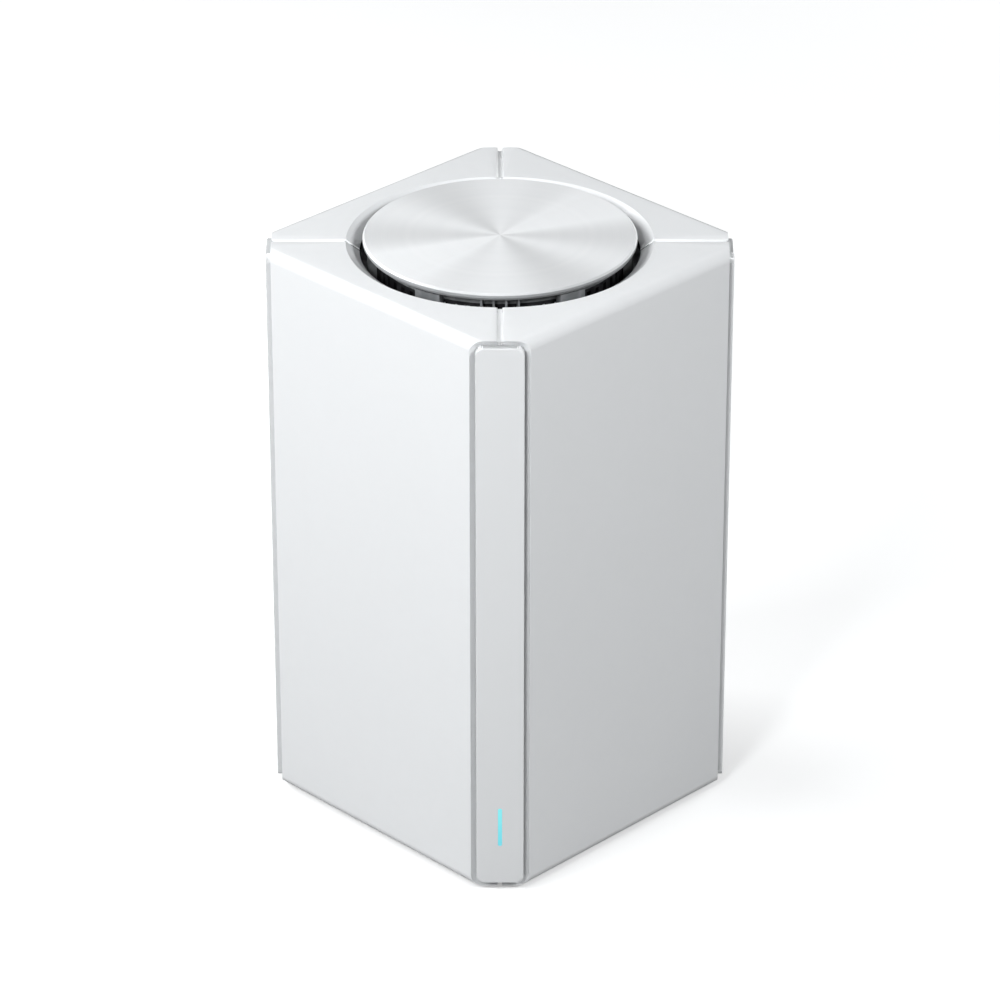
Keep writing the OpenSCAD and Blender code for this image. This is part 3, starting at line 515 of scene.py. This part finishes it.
# %% Matt plastics, rubber and paper
FINISHES["black_plastic"] = finish(
    "matt_black", (0.007, 0.007, 0.008), 0.6, drift=0.1, wear=0.3, wear_colour=(0.06, 0.06, 0.065), dust=0.02
)
FINISHES["black_plastic"]["shader"].inputs["Specular IOR Level"].default_value = 0.12
FINISHES["grey_plastic"] = finish(
    "matt_grey", (0.13, 0.135, 0.14), 0.45, drift=0.04, wear=0.3, wear_colour=(0.4, 0.41, 0.42), dust=0.04
)
FINISHES["chassis_plastic"] = finish(
    "textured_pale_grey", (0.5, 0.51, 0.52), 0.55, grain_size=0.0006, grain=0.8, wear=0.25, dust=0.05
)
FINISHES["led_package"] = finish("lamp_body", (0.82, 0.8, 0.7), 0.4, wear=0.1, grain_size=0.0002)
FINISHES["foot_rubber"] = finish(
    "foot_rubber",
    (0.035, 0.035, 0.038),
    0.75,
    drift=0.12,
    wear=0.5,
    wear_colour=(0.12, 0.12, 0.12),
    grain_size=0.0003,
    grain=1.0,
    depth=0.00005,
)
FINISHES["label_paper"] = finish(
    "satin_label", (0.66, 0.67, 0.68), 0.42, drift=0.01, wear=0.4, grain_size=0.00025, grain=0.6, wave=0.1
)
FINISHES["thermal_pad"] = finish(
    "soft_pad", (0.36, 0.44, 0.55), 0.85, drift=0.08, grain_size=0.0005, grain=1.0, depth=0.00006
)
FINISHES["lead_jacket"] = finish(
    "lead_jacket", (0.03, 0.03, 0.034), 0.4, wear=0.2, wear_colour=(0.1, 0.1, 0.1)
)
FINISHES["chip_epoxy"] = finish(
    "moulded_epoxy", (0.025, 0.026, 0.029), 0.6, drift=0.08, wear=0.3, wear_colour=(0.1, 0.1, 0.1), grain=0.9
)
FINISHES["capacitor_can"] = finish("capacitor_sleeve", (0.06, 0.07, 0.1), 0.35, wear=0.2, grain=0.1)
print("matt finishes", len(FINISHES))

# %% [markdown]
# Metals: nickel screws, tinned sheet round the jacks and under the cans, gilt contacts, an
# extruded heat sink and turned brass tubes. Rolled and extruded pieces get drawn lines along
# the direction they were pulled in, as bump.

# %% Metals
FINISHES["steel"] = finish("nickel_plate", (0.62, 0.61, 0.59), 0.3, metallic=1.0, wear=0.4, grain=0.2)
FINISHES["jack_steel"] = finish("tinned_sheet", (0.66, 0.66, 0.67), 0.32, metallic=1.0, wear=0.3, drift=0.05)
FINISHES["gold_contact"] = finish(
    "gilt_contact", (0.83, 0.62, 0.26), 0.24, metallic=1.0, wear=0.1, drift=0.05
)
FINISHES["sink_aluminium"] = finish("extruded_aluminium", (0.6, 0.61, 0.63), 0.42, metallic=1.0, drift=0.06)
FINISHES["spacer_brass"] = finish("turned_brass", (0.7, 0.54, 0.24), 0.3, metallic=1.0, drift=0.05)
for slot_name, pull in (("jack_steel", (15.0, 15.0, 4000.0)), ("sink_aluminium", (3500.0, 3500.0, 12.0))):
    made = FINISHES[slot_name]
    lines = use_group(
        made["tree"],
        drawn_lines,
        {"Vector": made["vector"], "Along X": pull[0], "Along Y": pull[1], "Along Z": pull[2]},
    )["Height"]
    made["tree"].links.new(
        sum_up(made["tree"], "MULTIPLY_ADD", lines, 0.8, made["height"]), made["bump"].inputs["Height"]
    )
print("metal finishes ready")

# %% [markdown]
# A circuit board is woven glass under green solder mask, with copper tracks that show as paler,
# slightly raised lines. Tracks are drawn by a cell texture with straight edges, which reads as
# routed copper at this size without any real circuit behind it.

# %% Circuit board and antennas
for slot_name, mask_colour, track_colour, cell in (
    ("board_green", (0.012, 0.11, 0.05), (0.03, 0.2, 0.09), 260.0),
    ("antenna_board", (0.02, 0.13, 0.07), (0.55, 0.36, 0.16), 110.0),
):
    made = finish(slot_name + "_mask", mask_colour, 0.32, drift=0.05, grain_size=0.0005, grain=0.5)
    tree = made["tree"]
    cells = place(
        tree,
        "TexVoronoi",
        {"Vector": made["vector"], "Scale": cell, "Randomness": 0.55},
        feature="DISTANCE_TO_EDGE",
    )
    track = remap(tree, cells.outputs["Distance"], 0.05, 0.09, 1.0, 0.0)
    tree.links.new(
        tint(tree, track, made["colour"], (*track_colour, 1.0)), made["shader"].inputs["Base Color"]
    )
    tree.links.new(
        sum_up(tree, "MULTIPLY_ADD", track, 1.5, made["height"]), made["bump"].inputs["Height"]
    )
    FINISHES[slot_name] = made
print("finishes in all", len(FINISHES))

# %% [markdown]
# Every node of the frame takes the finish of its slot in the record. The pieces made below
# replace the nodes that are seen, and the inner ones keep their mesh with its new finish.

# %% Dress the frame
slot_of = {part["node"]: part["material_slot"] for part in frame["record"]["subparts"]}
for node, obj in frame["nodes"].items():
    obj.data.materials.clear()
    obj.data.materials.append(FINISHES[slot_of[node]]["material"])
print("dressed", len(slot_of), "nodes in", len(set(slot_of.values())), "finishes")

# %% [markdown]
# The imported meshes are made of flat triangles whose normals were shared out for a drawing, so a
# narrow slope beside a large face looks bent. The helper copies a node's mesh, welds it, marks
# only real creases as sharp and weights the normals by area, which keeps large faces optically
# flat. Where a moulding's edge should catch a thin line of light, it also cuts a small bevel in
# the mesh. A bevel in the mesh is part of the shape, which a trick in the shader would not be.

# %% Copies with true creases
def shaped_mesh(node, radius=0.0, crease=30.0, steps=2):
    """A welded copy of a node's mesh with marked creases, or with its creases rounded."""
    mesh = bpy.data.meshes.new(node + "_mesh")
    work = bmesh.new()
    work.from_mesh(frame["nodes"][node].data)
    bmesh.ops.remove_doubles(work, verts=work.verts, dist=0.002 * MM)
    if radius:
        flat = math.radians(0.4)
        bmesh.ops.dissolve_limit(work, angle_limit=flat, verts=work.verts, edges=work.edges)
        edges = [e for e in work.edges if e.is_manifold and e.calc_face_angle() > math.radians(crease)]
        bmesh.ops.bevel(
            work, geom=edges, offset=radius, offset_type="OFFSET", segments=steps, profile=0.5,
            affect="EDGES", clamp_overlap=False, loop_slide=True,
        )
    work.to_mesh(mesh)
    work.free()
    mesh.shade_smooth()
    if not radius:
        mesh.set_sharp_from_angle(angle=math.radians(crease))
    return mesh


def add_piece(name, mesh, slot, body="root", nodes=()):
    """Puts a mesh in the scene as a piece of the object that may stand for some nodes."""
    mesh.materials.clear()
    mesh.materials.append(FINISHES[slot]["material"])
    piece = bpy.data.objects.new(name, mesh)
    bpy.context.scene.collection.objects.link(piece)
    evened = piece.modifiers.new("even_normals", "WEIGHTED_NORMAL")
    evened.mode = "FACE_AREA"
    evened.weight = 80
    evened.keep_sharp = True
    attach(piece, body)
    if nodes:
        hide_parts(*nodes)
    return piece


body_of_node = {n: b for b, ns in frame["record"]["behaviour"]["bodies"].items() for n in ns}
COPIES = {
    "panel_front_left": (0.0, 30.0),
    "panel_front_right": (0.0, 30.0),
    "panel_rear_left": (0.0, 30.0),
    "panel_rear_right": (0.0, 30.0),
    "corner_frame": (0.0, 30.0),
    "front_strip": (0.0, 30.0),
    "left_strip": (0.0, 30.0),
    "right_strip": (0.0, 30.0),
    "rear_strip": (0.0, 30.0),
    "port_plate": (0.15, 30.0),
    "base_plate": (0.15, 30.0),
}
for node, (radius, crease) in COPIES.items():
    mesh = shaped_mesh(node, radius * MM, crease)
    add_piece(node + "_moulding", mesh, slot_of[node], body_of_node[node], [node])
    print(node, "copied,", len(mesh.polygons), "faces")

# %% [markdown]
# The disc is a turned piece: a flat face, a bright bevel cut round its edge, a short upright
# side and a lower bevel that leaves a shadow line. A turned piece is best made as it is on a
# lathe, by sweeping a profile round the axis.

# %% Lathe
def turned_mesh(name, profile, centre=(0.0, 0.0), segments=160):
    """Sweeps a profile of (radius, height) pairs in metres round a vertical axis."""
    work = bmesh.new()
    rings = []
    for radius, height in profile:
        if radius == 0.0:
            rings.append([work.verts.new((centre[0], centre[1], height))])
            continue
        ring = []
        for i in range(segments):
            turn = 2 * math.pi * i / segments
            x = centre[0] + radius * math.cos(turn)
            ring.append(work.verts.new((x, centre[1] + radius * math.sin(turn), height)))
        rings.append(ring)
    for lower, upper in zip(rings, rings[1:]):
        for i in range(segments):
            j = (i + 1) % segments
            corners = [lower[i % len(lower)], lower[j % len(lower)]]
            corners += [upper[j % len(upper)], upper[i % len(upper)]]
            work.faces.new(list(dict.fromkeys(corners)))
    bmesh.ops.recalc_face_normals(work, faces=work.faces)
    mesh = bpy.data.meshes.new(name + "_mesh")
    work.to_mesh(mesh)
    work.free()
    mesh.shade_smooth()
    mesh.set_sharp_from_angle(angle=math.radians(25))
    return mesh


# %% Top disc
low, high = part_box("top_disc")
disc_radius = high.x
disc_profile = [
    (0.0, low.z),
    (disc_radius - 0.9 * MM, low.z),
    (disc_radius - 0.45 * MM, low.z + 0.12 * MM),
    (disc_radius - 0.06 * MM, low.z + 0.7 * MM),
    (disc_radius, low.z + 0.82 * MM),
    (disc_radius, high.z - 0.5 * MM),
    (disc_radius - 0.05 * MM, high.z - 0.42 * MM),
    (disc_radius - 0.42 * MM, high.z - 0.05 * MM),
    (disc_radius - 0.5 * MM, high.z),
    (disc_radius - 6 * MM, high.z),
    (0.6 * MM, high.z),
    (0.0, high.z - 0.01 * MM),
]
disc_mesh = turned_mesh("top_disc", disc_profile, segments=240)
add_piece("spun_disc", disc_mesh, "brushed_disc", nodes=["top_disc"])
print("disc", len(disc_mesh.polygons), "faces, radius", round(disc_radius / MM, 2), "mm")

# %% [markdown]
# Seen through the ring gap round the disc, everything but the supports stays dark. The upright
# inner walls are painted black there as painted shade, so those faces get a second slot. The arms
# of the frame are one long face each, so they are cut at the throat first.

# %% Throat painted black as shade
throat_reach = disc_radius + 1.2 * MM
arm_reach = disc_radius + 3.0 * MM
upright_limit = 0.9
panels = [n for n in COPIES if n.startswith("panel_")]
for node in ["corner_frame"] + panels:
    mesh = bpy.data.objects[node + "_moulding"].data
    if node == "corner_frame":
        work = bmesh.new()
        work.from_mesh(mesh)
        for way in ((1, 0, 0), (-1, 0, 0), (0, 1, 0), (0, -1, 0)):
            parts = work.verts[:] + work.edges[:] + work.faces[:]
            bmesh.ops.bisect_plane(work, geom=parts, plane_co=arm_reach * Vector(way), plane_no=way)
        work.to_mesh(mesh)
        work.free()
    # Painted shade: the faces inside the gap take the black slot so that they look shaded.
    mesh.materials.append(FINISHES["black_plastic"]["material"])
    count = 0
    for face in mesh.polygons:
        middle = Vector((face.center.x, face.center.y))
        inward = -middle.dot(Vector((face.normal.x, face.normal.y))) / max(middle.length, 1e-6)
        arm = node == "corner_frame" and max(abs(middle.x), abs(middle.y)) < arm_reach
        if arm or (middle.length < throat_reach and inward > upright_limit):
            face.material_index = 1
            count += 1
    print(node, "has", count, "black faces of", len(mesh.polygons))

# %% [markdown]
# The studio is a pale floor under soft lights: the key from the left, two small ones in front, a
# fill from the right, one behind on the left that also lights the top, a low one behind on the
# right and a weak one above. Sources near the object give the slow falloff over its faces.

# %% Floor
floor_size = 8.0
floor_mesh = bpy.data.meshes.new("floor")
half = floor_size / 2
floor_corners = [(-half, -half, 0), (half, -half, 0), (half, half, 0), (-half, half, 0)]
floor_mesh.from_pydata(floor_corners, [], [(0, 1, 2, 3)])
floor = bpy.data.objects.new("floor", floor_mesh)
bpy.context.scene.collection.objects.link(floor)
floor_paint = finish("pale_floor", (0.8, 0.8, 0.8), 0.7, drift=0.0, marks=0.0, wear=0.0, dust=0.0, depth=0.0)
tree = floor_paint["tree"]
floor_paint["shader"].inputs["Specular IOR Level"].default_value = 0.0
floor_paint["shader"].inputs["Emission Color"].default_value = (1.0, 1.0, 1.0, 1.0)
floor_paint["shader"].inputs["Emission Strength"].default_value = 0.35
dim_bounce = place(tree, "BsdfDiffuse", {"Color": (0.33, 0.33, 0.33, 1.0)})
seen = place(tree, "LightPath").outputs["Is Camera Ray"]
both = place(tree, "MixShader", {0: seen, 1: dim_bounce.outputs[0], 2: floor_paint["shader"].outputs[0]})
tree.links.new(both.outputs[0], tree.nodes["Material Output"].inputs["Surface"])
floor_mesh.materials.append(floor_paint["material"])

# %% Lights
scene = bpy.context.scene
scene.view_settings.view_transform = "Standard"
world = bpy.data.worlds.new("studio")
scene.world = world
world.use_nodes = True
sky = world.node_tree.nodes["Background"]
sky.inputs["Color"].default_value = (0.97, 0.985, 1.0, 1.0)
sky.inputs["Strength"].default_value = 0.02

# name: position, width, height, watts
LIGHTS = {
    "left_key": ((-0.62, -0.34, 0.50), 0.3, 0.3, 3.1),
    "front_key": ((-0.27, -0.74, 0.60), 0.16, 0.2, 0.35),
    "near_key": ((-0.15, -0.40, 0.42), 0.1, 0.12, 0.92),
    "right_fill": ((0.70, -0.60, 0.80), 0.3, 0.3, 7.0),
    "left_back": ((-0.70, 0.38, 0.50), 0.45, 0.45, 5.6),
    "rear_fill": ((0.60, 0.80, 0.20), 0.5, 0.3, 3.0),
    "overhead": ((0.0, 0.0, 1.1), 0.5, 0.5, 0.6),
}
light_aim = Vector((0, 0, 0.08))
for name, (position, width, height, watts) in LIGHTS.items():
    data = bpy.data.lights.new(name, "AREA")
    data.shape = "RECTANGLE"
    data.size = width
    data.size_y = height
    data.energy = watts
    data.color = (0.975, 0.99, 1.0)
    lamp = bpy.data.objects.new(name, data)
    bpy.context.scene.collection.objects.link(lamp)
    lamp.location = position
    lamp.rotation_euler = (light_aim - Vector(position)).to_track_quat("-Z", "Y").to_euler()
    lamp.visible_camera = False
print("lights", len(LIGHTS))
